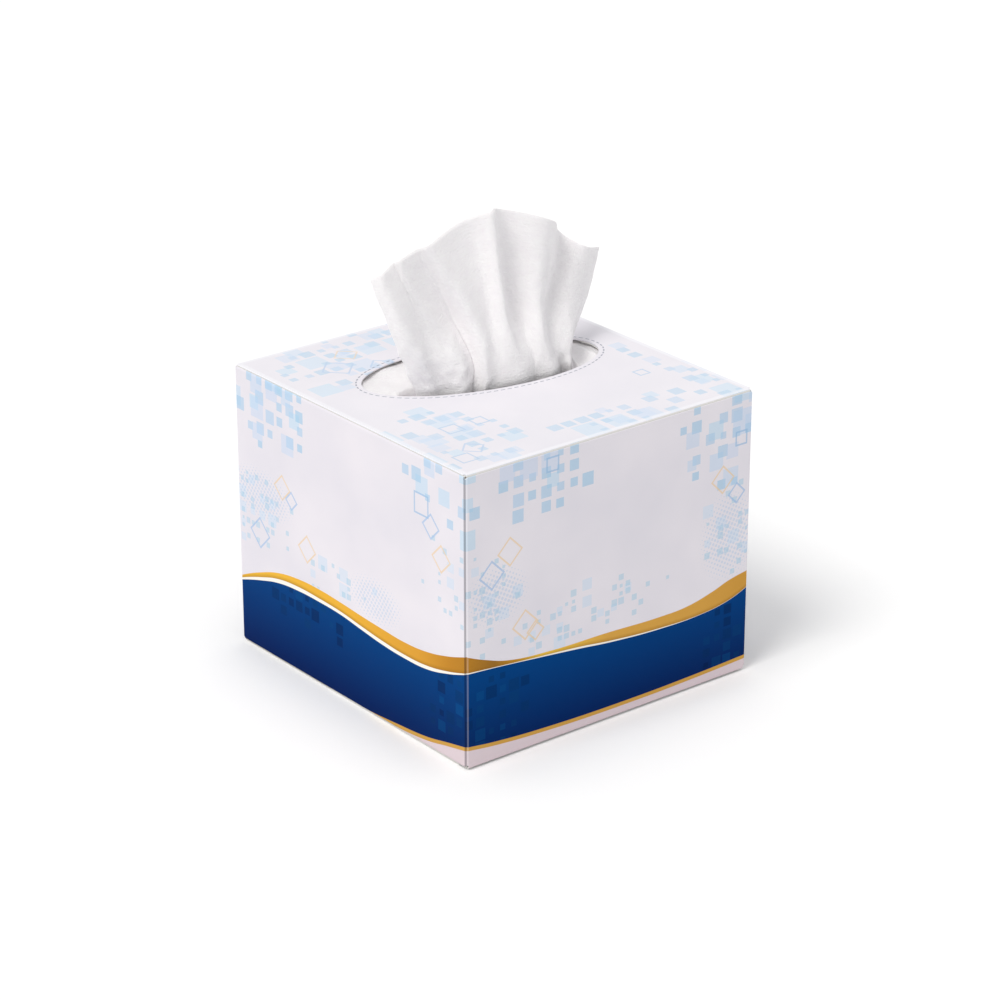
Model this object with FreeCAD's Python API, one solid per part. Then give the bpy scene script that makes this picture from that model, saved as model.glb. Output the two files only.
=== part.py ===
import FreeCAD, Part
import math
import os

# A cube carton of facial tissues with an oval opening in its top and one sheet pulled half out.
# Millimetres. The origin is the middle of the base, +Z up. The front wall faces -Y, the left wall -X.

Vec = FreeCAD.Vector

# Carton
box_width = 115.0
box_depth = 120.0
box_height = 98.0
board = 0.45
fold_radius = 1.0
top_edge_inset = 0.4
front_wall_drop = 0.9
front_corner_round = 1.3
corner_drop = 0.5
tuck_length = 20.0
tuck_corner = 6.0
dust_flap_length = 14.0
dust_flap_taper = 5.0
outer_flap_gap = 5.0
inner_flap_length = 72.0
minor_flap_length = 42.0
minor_flap_taper = 4.0
glue_flap_width = 14.0
glue_flap_taper = 4.0
glue_flap_end_gap = 3.0
fold_stub = 3.0

# Oval opening in the top panel
opening_x = 2.9
opening_y = 8.8
opening_half_length = 41.7
opening_half_width = 20.1
opening_turn = -9.9

# Sheets: each is folded once lengthwise and once across, and interleaved with the next
sheet_width = 210.0
sheet_length = 200.0
ply_thickness = 0.3
layer_gap = 1.3
rest_gap = 0.3

# Stack of the sheets that are left
stack_height = 75.0
stack_side_gap = 4.2
stack_bulge = 1.2
stack_crown = 1.5
stack_corner = 1.5

# Way of the raised sheet below the opening
sheet_front = -10.0
bend_radius = 13.0
back_fold_radius = 1.5
back_fold_gap = 2.0
line_steps = 3

# Next sheet, which fills the opening round the raised one. Its two edges run, in plan, from the front on
# the left round the back to the front on the right.
next_inner = [(-22.0, -16.0), (-25.0, -7.0), (-30.5, -1.0), (-31.0, 4.0), (-26.0, 7.5), (-10.0, 8.0),
              (15.0, 8.0), (28.5, 7.0), (33.0, 3.0), (32.5, -3.0), (30.0, -10.0), (29.0, -20.0)]
next_outer = [(-51.5, -16.0), (-51.5, -4.0), (-51.5, 8.0), (-51.0, 20.0), (-46.0, 36.0), (-18.0, 45.0),
              (18.0, 45.0), (46.0, 34.0), (51.5, 16.0), (51.5, 6.0), (51.5, -6.0), (51.5, -20.0)]
next_steps = 3
next_columns = 12
next_level_share = 0.7
next_under_card = 1.5
next_rest_gap = 0.7
next_edge_reach = 8.0
next_edge_run = 6.0

# Its creases: half height, and turn in radians for each millimetre of x and of y
next_creases = [(0.35, 0.42, 0.17), (0.25, -0.12, 0.31)]

# Fold lines of the raised sheet, from its left edge to its right edge. Each has its place in plan at
# four heights, from the opening's plane to the top edge, and then the height of the top edge there.
fold_heights = [0.0, 0.3, 0.62, 1.0]
fold_lines = [
    [(-28.0, 1.5), (-32.0, 3.7), (-35.0, 7.2), (-37.5, 12.0), 135.5],
    [(-25.0, -0.5), (-29.0, 0.0), (-33.0, 3.5), (-35.0, 9.5), 137.0],
    [(-20.0, 0.0), (-22.5, 2.2), (-26.0, 6.0), (-29.0, 13.0), 138.0],
    [(-14.0, -4.0), (-14.0, 1.5), (-21.0, 6.5), (-27.5, 10.5), 139.5],
    [(-9.5, 2.0), (-8.0, 6.5), (-12.5, 9.7), (-20.5, 12.0), 141.0],
    [(-8.0, -6.0), (-6.0, -1.5), (-8.0, 4.0), (-15.0, 10.0), 143.0],
    [(-3.0, -5.0), (1.0, 0.5), (2.0, 7.0), (0.0, 12.0), 146.8],
    [(3.5, -8.5), (4.5, -2.5), (5.0, 3.0), (5.5, 8.0), 149.0],
    [(12.0, -5.0), (13.0, 4.0), (14.0, 9.5), (14.5, 13.0), 147.0],
    [(17.0, -9.0), (17.5, -2.0), (22.5, 3.5), (27.5, 7.0), 143.0],
    [(25.0, 0.0), (26.0, 5.0), (33.0, 10.0), (40.0, 14.0), 133.5],
    [(26.5, -5.0), (31.0, 3.0), (37.0, 7.5), (43.5, 10.0), 130.5],
    [(30.0, 1.5), (42.0, 7.0), (49.0, 10.0), (53.5, 12.0), 126.5],
]


def mix(a, b, share):
    """The value that lies this share of the way from a to b."""
    return a + (b - a) * share


def ease(share):
    """A smooth step from 0 to 1."""
    share = max(0.0, min(1.0, share))
    return share * share * (3.0 - 2.0 * share)


# Carton

def folded_strip(path, radius, place, run):
    """Board folded along path, whose bends all turn right: the outer face follows the path with an arc at
    each bend, the inner face lies one board inside it, and the strip is carried along run."""
    def offset(point, direction, inside):
        return (point[0] + direction[1] * inside, point[1] - direction[0] * inside)

    sides = {0.0: [], board: []}
    directions = []
    for (u0, w0), (u1, w1) in zip(path, path[1:]):
        length = math.hypot(u1 - u0, w1 - w0)
        directions.append(((u1 - u0) / length, (w1 - w0) / length))
    for inside, edges in sides.items():
        start = offset(path[0], directions[0], inside)
        for corner, before, after in zip(path[1:-1], directions, directions[1:]):
            centre = (corner[0] + (after[0] - before[0]) * radius,
                      corner[1] + (after[1] - before[1]) * radius)
            reach = radius - inside
            entry = (centre[0] - after[0] * reach, centre[1] - after[1] * reach)
            leave = (centre[0] + before[0] * reach, centre[1] + before[1] * reach)
            half = math.sqrt(0.5) * reach
            middle = (centre[0] + (before[0] - after[0]) * half,
                      centre[1] + (before[1] - after[1]) * half)
            edges.append(Part.makeLine(place(*start), place(*entry)))
            edges.append(Part.Arc(place(*entry), place(*middle), place(*leave)).toShape())
            start = leave
        edges.append(Part.makeLine(place(*start), place(*offset(path[-1], directions[-1], inside))))
    ends = []
    for point, direction in ((path[0], directions[0]), (path[-1], directions[-1])):
        outer = place(*offset(point, direction, 0.0))
        inner = place(*offset(point, direction, board))
        ends.append(Part.makeLine(outer, inner))
    outline = Part.Wire(Part.__sortEdges__(sides[0.0] + sides[board] + ends))
    return Part.Face(outline).extrude(run)


def plate(points, bottom, thickness):
    """A flat plate over a plan outline."""
    corners = [Vec(x, y, bottom) for x, y in points]
    return Part.Face(Part.makePolygon(corners + corners[:1])).extrude(Vec(0, 0, thickness))


def side_wall(side):
    """Left (-1) or right (+1) wall, folded into a short dust flap at the top and a minor flap below."""
    half = box_width / 2
    run = box_depth - 2 * fold_radius
    path = [(-half + fold_stub, 2 * board), (-half, 2 * board), (-half, box_height - board),
            (-half + fold_stub, box_height - board)]
    wall = folded_strip(path, fold_radius, lambda u, w: Vec(-side * u, -run / 2, w), Vec(0, run, 0))
    flaps = []
    for length, taper, bottom in ((dust_flap_length, dust_flap_taper, box_height - 2 * board),
                                  (minor_flap_length, minor_flap_taper, 2 * board)):
        root = half - fold_radius
        tip = half - length
        outline = [(side * root, -run / 2), (side * root, run / 2), (side * tip, run / 2 - taper),
                   (side * tip, -run / 2 + taper)]
        flaps.append(plate(outline, bottom, board))
    return wall.multiFuse(flaps)


def back_and_top():
    """Outer bottom flap, back wall, top panel and the tuck flap that goes down behind the front wall."""
    half = box_depth / 2
    wall_run = box_width - 2 * fold_radius
    front_inside = half - board
    back = folded_strip([(half - outer_flap_gap, 0.0), (-half, 0.0), (-half, box_height),
                         (-half + fold_stub, box_height)], fold_radius,
                        lambda u, w: Vec(-wall_run / 2, -u, w), Vec(wall_run, 0, 0))
    tuck = folded_strip([(front_inside - fold_stub, box_height), (front_inside, box_height),
                         (front_inside, box_height - tuck_length)], fold_radius,
                        lambda u, w: Vec(-wall_run / 2, -u, w), Vec(wall_run, 0, 0))
    for side in (-1, 1):
        low = box_height - tuck_length
        end = side * wall_run / 2
        corner = [Vec(end, -half, low), Vec(end - side * tuck_corner, -half, low),
                  Vec(end, -half, low + tuck_corner)]
        corner_face = Part.Face(Part.makePolygon(corner + corner[:1]))
        tuck = tuck.cut(corner_face.extrude(Vec(0, 3 * fold_radius, 0)))
    across = box_width / 2 - top_edge_inset
    panel = plate([(-across, -front_inside + fold_radius), (across, -front_inside + fold_radius),
                   (across, half - fold_radius), (-across, half - fold_radius)], box_height - board, board)
    return back.multiFuse([panel, tuck])


def front_wall():
    """Front wall with a cut top edge just below the top panel's fold, and the inner bottom flap."""
    half = box_depth / 2
    run = box_width - 2 * fold_radius
    path = [(-half + inner_flap_length, board), (-half, board), (-half, box_height - front_wall_drop)]
    return folded_strip(path, fold_radius, lambda u, w: Vec(-run / 2, u, w), Vec(run, 0, 0))


def corner_posts():
    """The four rounded upright folds between the walls."""
    posts = []
    inner = fold_radius - board
    for side_x in (-1, 1):
        for side_y in (-1, 1):
            bottom = fold_radius + 2 * board
            drop = corner_drop if side_y > 0 else front_wall_drop
            height = box_height - board - drop - bottom
            if side_y < 0:
                height = box_height - drop - bottom
            centre = Vec(side_x * (box_width / 2 - fold_radius), side_y * (box_depth / 2 - fold_radius),
                         bottom)
            start = {(1, 1): 0, (-1, 1): 90, (-1, -1): 180, (1, -1): 270}[(side_x, side_y)]
            post = Part.makeCylinder(fold_radius, height, centre, Vec(0, 0, 1), 90)
            post = post.cut(Part.makeCylinder(inner, height, centre, Vec(0, 0, 1), 90))
            post.rotate(centre, Vec(0, 0, 1), start)
            posts.append(post)
    return posts


def glue_flap():
    """The right wall's end, glued inside the back wall."""
    inside = box_depth / 2 - board
    start = box_width / 2 - board
    low = 3 * board + glue_flap_end_gap
    high = box_height - 2 * board - glue_flap_end_gap
    outline = [(start, low), (start, high), (start - glue_flap_width, high - glue_flap_taper),
               (start - glue_flap_width, low + glue_flap_taper)]
    corners = [Vec(x, inside, z) for x, z in outline]
    return Part.Face(Part.makePolygon(corners + corners[:1])).extrude(Vec(0, -board, 0))


def front_corner_cut(side):
    """What the rounding takes off one top corner of the front wall."""
    radius = front_corner_round
    top = box_height - front_wall_drop
    edge = side * box_width / 2
    depth = fold_radius
    left = min(edge, edge - side * radius)
    block = Part.makeBox(radius, depth, radius, Vec(left, -box_depth / 2, top - radius))
    centre = Vec(edge - side * radius, -box_depth / 2, top - radius)
    return block.cut(Part.makeCylinder(radius, depth, centre, Vec(0, 1, 0), 360))


def opening_cut():
    """The oval that is torn out along its perforation."""
    oval = Part.Ellipse(Vec(0, 0, 0), opening_half_length, opening_half_width).toShape()
    cut = Part.Face(Part.Wire([oval])).extrude(Vec(0, 0, 4 * board))
    cut.rotate(Vec(0, 0, 0), Vec(0, 0, 1), opening_turn)
    cut.translate(Vec(opening_x, opening_y, box_height - 2 * board))
    return cut


def carton():
    """The whole blank, folded and glued."""
    parts = [side_wall(-1), side_wall(1), front_wall(), glue_flap()] + corner_posts()
    body = back_and_top().multiFuse(parts)
    for side in (-1, 1):
        body = body.cut(front_corner_cut(side))
    body = body.cut(opening_cut())
    return body.removeSplitter()


# Stack

stack_base = 3 * board
stack_length = sheet_length / 2
stack_width = box_width - 2 * board - 2 * stack_side_gap


def stack_top(y):
    """Height of the stack's crowned top, a parabola from front to back."""
    edge = stack_length / 2
    return stack_base + stack_height - stack_crown * (y / edge) ** 2


def tissue_stack():
    """Interfolded sheets: the folded edges at front and back bulge, and the top is crowned."""
    edge = stack_length / 2
    low = stack_base + stack_corner
    high = stack_top(edge)
    middle = (low + high) / 2
    left = -stack_width / 2
    corners = [Vec(left, -edge + stack_corner, stack_base), Vec(left, edge - stack_corner, stack_base),
               Vec(left, edge, low), Vec(left, edge, high), Vec(left, -edge, high), Vec(left, -edge, low)]
    slant = stack_corner * (1 - math.sqrt(0.5))
    edges = [
        Part.makeLine(corners[0], corners[1]),
        Part.Arc(corners[1], Vec(left, edge - slant, stack_base + slant), corners[2]).toShape(),
        Part.Arc(corners[2], Vec(left, edge + stack_bulge, middle), corners[3]).toShape(),
        Part.Arc(corners[3], Vec(left, 0, stack_top(0)), corners[4]).toShape(),
        Part.Arc(corners[4], Vec(left, -edge - stack_bulge, middle), corners[5]).toShape(),
        Part.Arc(corners[5], Vec(left, -edge + slant, stack_base + slant), corners[0]).toShape(),
    ]
    return Part.Face(Part.Wire(edges)).extrude(Vec(stack_width, 0, 0))


# Sheets

def smooth_row(points, steps):
    """Points along the smooth curve through the given points, this many steps from each to the next."""
    curve = Part.BSplineCurve()
    curve.interpolate(points)
    marks = [curve.parameter(point) for point in points]
    row = [points[0]]
    for start, end in zip(marks, marks[1:]):
        row += [curve.value(mix(start, end, k / steps)) for k in range(1, steps + 1)]
    return row


def normals(grid):
    """Unit normals of a grid from the differences between neighbours."""
    result = []
    last_row = len(grid) - 1
    last_column = len(grid[0]) - 1
    for i, row in enumerate(grid):
        line = []
        for j in range(len(row)):
            across = row[min(j + 1, last_column)] - row[max(j - 1, 0)]
            along = grid[min(i + 1, last_row)][j] - grid[max(i - 1, 0)][j]
            line.append(across.cross(along).normalize())
        result.append(line)
    return result


def sheet_solid(grid, thickness):
    """A closed thin solid of flat facets, half of the thickness on each side of the grid's surface."""
    columns = len(grid[0])
    count = columns * len(grid)
    points = []
    for side in (-0.5, 0.5):
        for row, line in zip(grid, normals(grid)):
            points += [point + normal * (side * thickness) for point, normal in zip(row, line)]
    facets = []
    for i in range(len(grid) - 1):
        for j in range(columns - 1):
            a = i * columns + j
            b = a + 1
            c = a + columns
            d = c + 1
            facets += [(a, c, b), (b, c, d)]
            facets += [(a + count, b + count, c + count), (b + count, d + count, c + count)]
    rim = list(range(columns))
    rim += [i * columns + columns - 1 for i in range(1, len(grid))]
    rim += [count - 1 - j for j in range(1, columns)]
    rim += [i * columns for i in range(len(grid) - 2, 0, -1)]
    for a, b in zip(rim, rim[1:] + rim[:1]):
        facets += [(a, b, a + count), (b, b + count, a + count)]
    shell = Part.Shape()
    shell.makeShapeFromMesh((points, facets), 0.001)
    solid = Part.Solid(shell.Shells[0] if shell.Shells else shell)
    if solid.Volume < 0:
        solid.reverse()
    return solid


def fold_line_point(line, share):
    """A fold line's place at a share of its height: the cubic through its four points."""
    x = 0.0
    y = 0.0
    for k, height in enumerate(fold_heights):
        weight = 1.0
        for m, other in enumerate(fold_heights):
            if m != k:
                weight *= (share - other) / (height - other)
        x += weight * line[k][0]
        y += weight * line[k][1]
    return Vec(x, y, mix(box_height, line[4], share))


def flat_places():
    """Where each fold line lies across the flattened sheet, by the length between them at the opening."""
    marks = [0.0]
    for before, after in zip(fold_lines, fold_lines[1:]):
        marks.append(marks[-1] + math.dist(before[0], after[0]))
    half = sheet_width / 4
    return [mix(-half, half, mark / marks[-1]) for mark in marks]


lower_run = rest_gap + ply_thickness / 2 + layer_gap
upper_run = lower_run + 2 * back_fold_radius
bend_centre_y = sheet_front + bend_radius
back_fold_y = stack_length / 2 - back_fold_radius - layer_gap - back_fold_gap
highest_mouth = max(line[0][1] for line in fold_lines)


def flattening(share):
    """What is left of the folds' depth at a share of the way from the opening to the back fold."""
    return 1.0 - ease(share * 0.9 + 0.1)


def way_down():
    """The sheet's way below the opening: y, z, the normal's y and z, and the share of the way to the
    back fold."""
    bend_low = stack_top(bend_centre_y) + upper_run
    bend_centre_z = bend_low + bend_radius
    throat = box_height - bend_centre_z
    bend = bend_radius * math.pi / 2
    run = back_fold_y - bend_centre_y
    total = throat + bend + run
    rows = []
    for k in range(1, 5):
        angle = math.pi / 2 * k / 4
        y = bend_centre_y - bend_radius * math.cos(angle)
        z = bend_centre_z - bend_radius * math.sin(angle)
        rows.append((y, z, math.cos(angle), math.sin(angle), (throat + bend * k / 4) / total))
    for before_fold in (0.72 * run, 0.45 * run, 0.2 * run, 0.0):
        y = back_fold_y - before_fold
        rows.append((y, stack_top(y) + upper_run, 0.0, 1.0, (total - before_fold) / total))
    centre_z = stack_top(back_fold_y) + lower_run + back_fold_radius
    for k in range(1, 5):
        angle = math.pi * k / 4
        y = back_fold_y + back_fold_radius * math.sin(angle)
        z = centre_z + back_fold_radius * math.cos(angle)
        rows.append((y, z, math.sin(angle), math.cos(angle), 1.0))
    for after_fold in (0.33 * 2 * back_fold_y, 0.66 * 2 * back_fold_y, 2 * back_fold_y):
        y = back_fold_y - after_fold
        rows.append((y, stack_top(y) + lower_run, 0.0, -1.0, 1.0))
    return rows


def raised_tissue():
    """One sheet folded lengthwise into two layers, fanned out above the opening, drawn together in it,
    bent over onto the stack, and folded back under itself at the stack's back edge."""
    flat = flat_places()
    rows = []
    for share in (1.0, 0.85, 0.68, 0.5, 0.32, 0.15, 0.0):
        rows.append([fold_line_point(line, share) for line in fold_lines])
    for y, z, normal_y, normal_z, share in way_down():
        row = []
        flattened = ease(share)
        for line, place in zip(fold_lines, flat):
            depth = (line[0][1] - sheet_front) * flattening(share)
            x = mix(line[0][0], place, flattened)
            row.append(Vec(x, y + normal_y * depth, z + normal_z * depth))
        rows.append(row)
    rows = [smooth_row(row, line_steps) for row in rows]
    doubled = []
    for row, line in zip(rows, normals(rows)):
        back = [point + normal * layer_gap for point, normal in zip(row, line)]
        outward = (row[0] - row[1]).normalize()
        middle = row[0] + line[0] * (layer_gap / 2)
        turn = []
        for k in range(1, 4):
            angle = math.pi * k / 4
            turn.append(middle - line[0] * (layer_gap / 2 * math.cos(angle))
                        + outward * (layer_gap / 2 * math.sin(angle)))
        doubled.append(list(reversed(row)) + turn + back)
    return sheet_solid(doubled, ply_thickness)


def next_floor(x, y):
    """Height of what lies below the next sheet: the raised sheet's waves where it runs back over the
    stack, and only its folded-back half beside them."""
    share = (y - sheet_front) / (back_fold_y - sheet_front)
    waves = (highest_mouth - sheet_front) * flattening(share)
    under_edge = stack_top(y) + lower_run + ply_thickness + next_rest_gap
    over_run = stack_top(y) + upper_run + layer_gap + ply_thickness + next_rest_gap + waves
    half = sheet_width / 4
    left = mix(fold_lines[0][0][0], -half, ease(share))
    right = mix(fold_lines[-1][0][0], half, ease(share))
    inside = min(x - left, right - x)
    return mix(under_edge, over_run, ease((inside + next_edge_reach) / next_edge_run))


def next_tissue():
    """The sheet that follows, cupped round the raised one: level just under the card as far as the
    opening's rim, then eased down to what it lies on, with shallow creases."""
    highest = box_height - board - next_under_card
    inner = smooth_row([Vec(x, y, 0) for x, y in next_inner], next_steps)
    outer = smooth_row([Vec(x, y, 0) for x, y in next_outer], next_steps)
    rows = []
    for near, far in zip(inner, outer):
        row = []
        for j in range(next_columns):
            share = j / (next_columns - 1)
            place = mix(near, far, share)
            x = place.x
            y = place.y
            lift = 1.0 - ease((share - next_level_share) / (1.0 - next_level_share))
            crease = sum(height * math.sin(by_x * x + by_y * y) for height, by_x, by_y in next_creases)
            floor = next_floor(x, y)
            row.append(Vec(x, y, mix(floor, max(floor, highest), lift) + crease * lift))
        rows.append(row)
    return sheet_solid(rows, ply_thickness)


def main():
    """Build every node and write it."""
    os.makedirs("parts", exist_ok=True)
    nodes = {
        "carton": carton(),
        "tissue_stack": tissue_stack(),
        "raised_tissue": raised_tissue(),
        "next_tissue": next_tissue(),
    }
    for name, shape in nodes.items():
        print(name, "solids", len(shape.Solids), "valid", shape.isValid(), "volume", round(shape.Volume, 1),
              "box", [round(v, 2) for v in (shape.BoundBox.XMin, shape.BoundBox.YMin, shape.BoundBox.ZMin,
                                            shape.BoundBox.XMax, shape.BoundBox.YMax, shape.BoundBox.ZMax)])
        shape.exportStep("parts/" + name + ".step")
    return nodes


main()
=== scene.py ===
import math

import bmesh
import bpy
import numpy as np
from mathutils import Matrix, Vector


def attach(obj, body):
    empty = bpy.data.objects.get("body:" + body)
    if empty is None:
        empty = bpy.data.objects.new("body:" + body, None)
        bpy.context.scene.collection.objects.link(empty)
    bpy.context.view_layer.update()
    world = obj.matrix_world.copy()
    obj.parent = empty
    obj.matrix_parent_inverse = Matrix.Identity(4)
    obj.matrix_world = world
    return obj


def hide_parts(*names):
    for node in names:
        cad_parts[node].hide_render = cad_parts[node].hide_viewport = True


# A cube carton of facial tissues: the oval in its top is torn out and one sheet stands half out of it.
# Shapes are worked out in millimetres, with the same sizes as part.py's, and become metres in grid_piece.
# Only the next sheet's inner edge differs a little from part.py's, where it follows the raised sheet closer.

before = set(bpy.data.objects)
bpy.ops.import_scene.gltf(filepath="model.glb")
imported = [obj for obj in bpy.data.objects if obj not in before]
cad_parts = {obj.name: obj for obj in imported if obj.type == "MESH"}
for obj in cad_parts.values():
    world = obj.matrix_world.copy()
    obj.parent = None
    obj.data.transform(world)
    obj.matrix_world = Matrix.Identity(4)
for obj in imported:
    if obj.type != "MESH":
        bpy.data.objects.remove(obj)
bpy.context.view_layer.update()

MM = 0.001

# Rumpled surfaces read a square lattice of random numbers with this many along each side
LATTICE = 64

# Carton
BOX_WIDTH = 115.0
BOX_DEPTH = 120.0
BOX_HEIGHT = 98.0
BOARD = 0.45

# Oval opening
OPENING_CENTRE = (2.9, 8.8)
OPENING_HALF_LENGTH = 41.7
OPENING_HALF_WIDTH = 20.1
OPENING_TURN = math.radians(-9.9)
PERFORATION_OUT = 1.7
PERFORATION_PITCH = 2.4

# Sheets
SHEET_WIDTH = 210.0
SHEET_LENGTH = 200.0
PLY = 0.3
LAYER_GAP = 1.3
REST_GAP = 0.3

# Stack
STACK_HEIGHT = 75.0
STACK_SIDE_GAP = 4.2
STACK_BULGE = 1.2
STACK_CROWN = 1.5
STACK_CORNER = 1.5
STACK_RIPPLE = 0.25
STACK_RIPPLE_PITCH = 1.8
STACK_BASE = 3 * BOARD
STACK_LENGTH = SHEET_LENGTH / 2
STACK_WIDTH = BOX_WIDTH - 2 * BOARD - 2 * STACK_SIDE_GAP
STACK_CORNER_ROWS = 7
STACK_SIDE_ROWS = 81
STACK_CROWN_ROWS = 16
STACK_PLACES = 13

# Way of the raised sheet below the opening, with the rows of its five parts, each of which shares its first
# row with the part before it
SHEET_FRONT = -10.0
BEND_RADIUS = 13.0
BACK_FOLD_RADIUS = 1.5
LOWER_RUN = REST_GAP + PLY / 2 + LAYER_GAP
UPPER_RUN = LOWER_RUN + 2 * BACK_FOLD_RADIUS
BEND_CENTRE_Y = SHEET_FRONT + BEND_RADIUS
BACK_FOLD_INSET = 2.0
BACK_FOLD_Y = STACK_LENGTH / 2 - BACK_FOLD_RADIUS - LAYER_GAP - BACK_FOLD_INSET
DROP_ROWS = 5
BEND_ROWS = 13
OVER_ROWS = 16
BACK_FOLD_ROWS = 11
UNDER_ROWS = 19

# Next sheet, which fills the opening round the raised one. Its two edges run, in plan, from the front on
# the left round the back to the front on the right, and shares are of the way from the inner to the outer.
NEXT_PLACES = 169
NEXT_STEPS = 57
NEXT_INNER = np.array([(-22.0, -16.0), (-25.0, -7.0), (-30.5, -1.0), (-31.0, 4.0), (-26.0, 7.5), (-10.0, 8.0),
                       (15.0, 8.0), (28.5, 7.0), (33.0, 3.0), (31.5, -1.5), (29.0, -7.0), (28.0, -20.0)])
NEXT_OUTER = np.array([(-51.5, -16.0), (-51.5, -4.0), (-51.5, 8.0), (-51.0, 20.0), (-46.0, 36.0),
                       (-18.0, 45.0), (18.0, 45.0), (46.0, 34.0), (51.5, 16.0), (51.5, 6.0), (51.5, -6.0),
                       (51.5, -20.0)])
NEXT_LEVEL_SHARE = 0.7
NEXT_UNDER_CARD = 1.5
NEXT_REST_GAP = 0.7
NEXT_EDGE_REACH = 8.0
NEXT_EDGE_RUN = 6.0

# Its inner edge hangs down, a shallow dip lies beyond that, deeper on the right, and its middle is higher.
# Each wave is a height and its turn in radians for each millimetre along x and y. Pairs named _FROM_TO are
# where something begins and where it is full.
NEXT_HANG = 9.0
NEXT_HANG_FROM_TO = (0.1, 0.0)
NEXT_DIP_SHARE = 0.5
NEXT_DIP_LEFT = 0.5
NEXT_DIP_RIGHT = 2.2
NEXT_DIP_FROM_TO = (15.0, 35.0)
NEXT_MIDDLE_RISE = 0.5
NEXT_MIDDLE_FROM_TO = (43.0, 40.0)
NEXT_WAVES = [(0.2, 0.42, 0.17), (0.14, -0.12, 0.31)]

# Its creases: crests are a height, a slant, a stretch, a size and a seed, grooves the same without the
# stretch, and the grain is a height, a size and a seed
NEXT_CRESTS = (0.35, 0.4, 0.5, 7.0, 31)
NEXT_GROOVES = (0.3, -0.3, 4.0, 37)
NEXT_GRAIN = (0.07, 1.6, 41)

# Fold lines of the raised sheet from its left edge to its right edge: x and y at four heights from the
# opening's plane to the top edge, then the height of the top edge.
FOLD_HEIGHTS = np.array([0.0, 0.3, 0.62, 1.0])
FOLD_LINES = np.array([
    [-28.0, 1.5, -32.0, 3.7, -35.0, 7.2, -37.5, 12.0, 135.5],
    [-25.0, -0.5, -29.0, 0.0, -33.0, 3.5, -35.0, 9.5, 137.0],
    [-20.0, 0.0, -22.5, 2.2, -26.0, 6.0, -29.0, 13.0, 138.0],
    [-14.0, -4.0, -14.0, 1.5, -21.0, 6.5, -27.5, 10.5, 139.5],
    [-9.5, 2.0, -8.0, 6.5, -12.5, 9.7, -20.5, 12.0, 141.0],
    [-8.0, -6.0, -6.0, -1.5, -8.0, 4.0, -15.0, 10.0, 143.0],
    [-3.0, -5.0, 1.0, 0.5, 2.0, 7.0, 0.0, 12.0, 146.8],
    [3.5, -8.5, 4.5, -2.5, 5.0, 3.0, 5.5, 8.0, 149.0],
    [12.0, -5.0, 13.0, 4.0, 14.0, 9.5, 14.5, 13.0, 147.0],
    [17.0, -9.0, 17.5, -2.0, 22.5, 3.5, 27.5, 7.0, 143.0],
    [25.0, 0.0, 26.0, 5.0, 33.0, 10.0, 40.0, 14.0, 133.5],
    [26.5, -5.0, 31.0, 3.0, 37.0, 7.5, 43.5, 10.0, 130.5],
    [30.0, 1.5, 42.0, 7.0, 49.0, 10.0, 53.5, 12.0, 126.5],
])
LINE_PLACES = FOLD_LINES[:, :8].reshape(-1, 4, 2)
TOP_EDGE = FOLD_LINES[:, 8]
FAN_ROWS = 81
FAN_COLUMNS = 121
EDGE_FOLD_STEPS = 7

# Near the opening the folds are pulled towards the card's front edge by a share of their distance from it,
# between two heights and short of the sheet's right edge
FILL = 0.5
FILL_CLEARANCE = 2.0
FILL_TOP_FROM_TO = (118.0, 100.0)
FILL_FOOT_FROM_TO = (84.0, 92.0)
FILL_RIGHT_FROM_TO = (SHEET_WIDTH / 2, SHEET_WIDTH / 2 - 18.0)

# Small creases of the raised sheet, placed on the flat sheet: s runs across it from the fold on the left,
# and t down it from the top edge. A crease is its height near the opening, its height in the fan, its
# slant, its stretch along t, its size and its seed. A crumple has sharp crests, and one height.
NARROW_CREASES = (0.28, 0.45, 0.0, 0.1, 3.6, 5)
WIDE_CREASES = (0.4, 0.55, 0.25, 0.3, 7.5, 11)
FINE_CREASES = (0.1, 0.1, 0.0, 0.7, 2.1, 23)
CRUMPLES = [(1.3, 0.5, 0.6, 11.0, 47), (1.1, 0.6, 0.5, 7.0, 51), (0.65, -0.5, 0.8, 4.2, 57)]
CRUMPLE_MEAN = 0.35
CREASED_T_FROM_TO = (62.0, 54.0)
FAN_T_FROM_TO = (46.0, 40.0)
NARROW_T_FROM_TO = (5.0, 35.0)
CRUMPLED_TOP_T_FROM_TO = (20.0, 36.0)
CRUMPLED_FOOT_T_FROM_TO = (47.0, 42.0)
CRUMPLED_LESS_S_FROM_TO = (38.0, 48.0)
CRUMPLED_LESS = 0.45
SMOOTH_S = 34.0
SMOOTH_S_FROM_TO = (10.0, 5.0)
SMOOTHED = 0.85

# The two layers lie nearer each other at the top edge
TOP_GAP_SHARE = 0.4
WHOLE_GAP_T = 14.0

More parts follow.
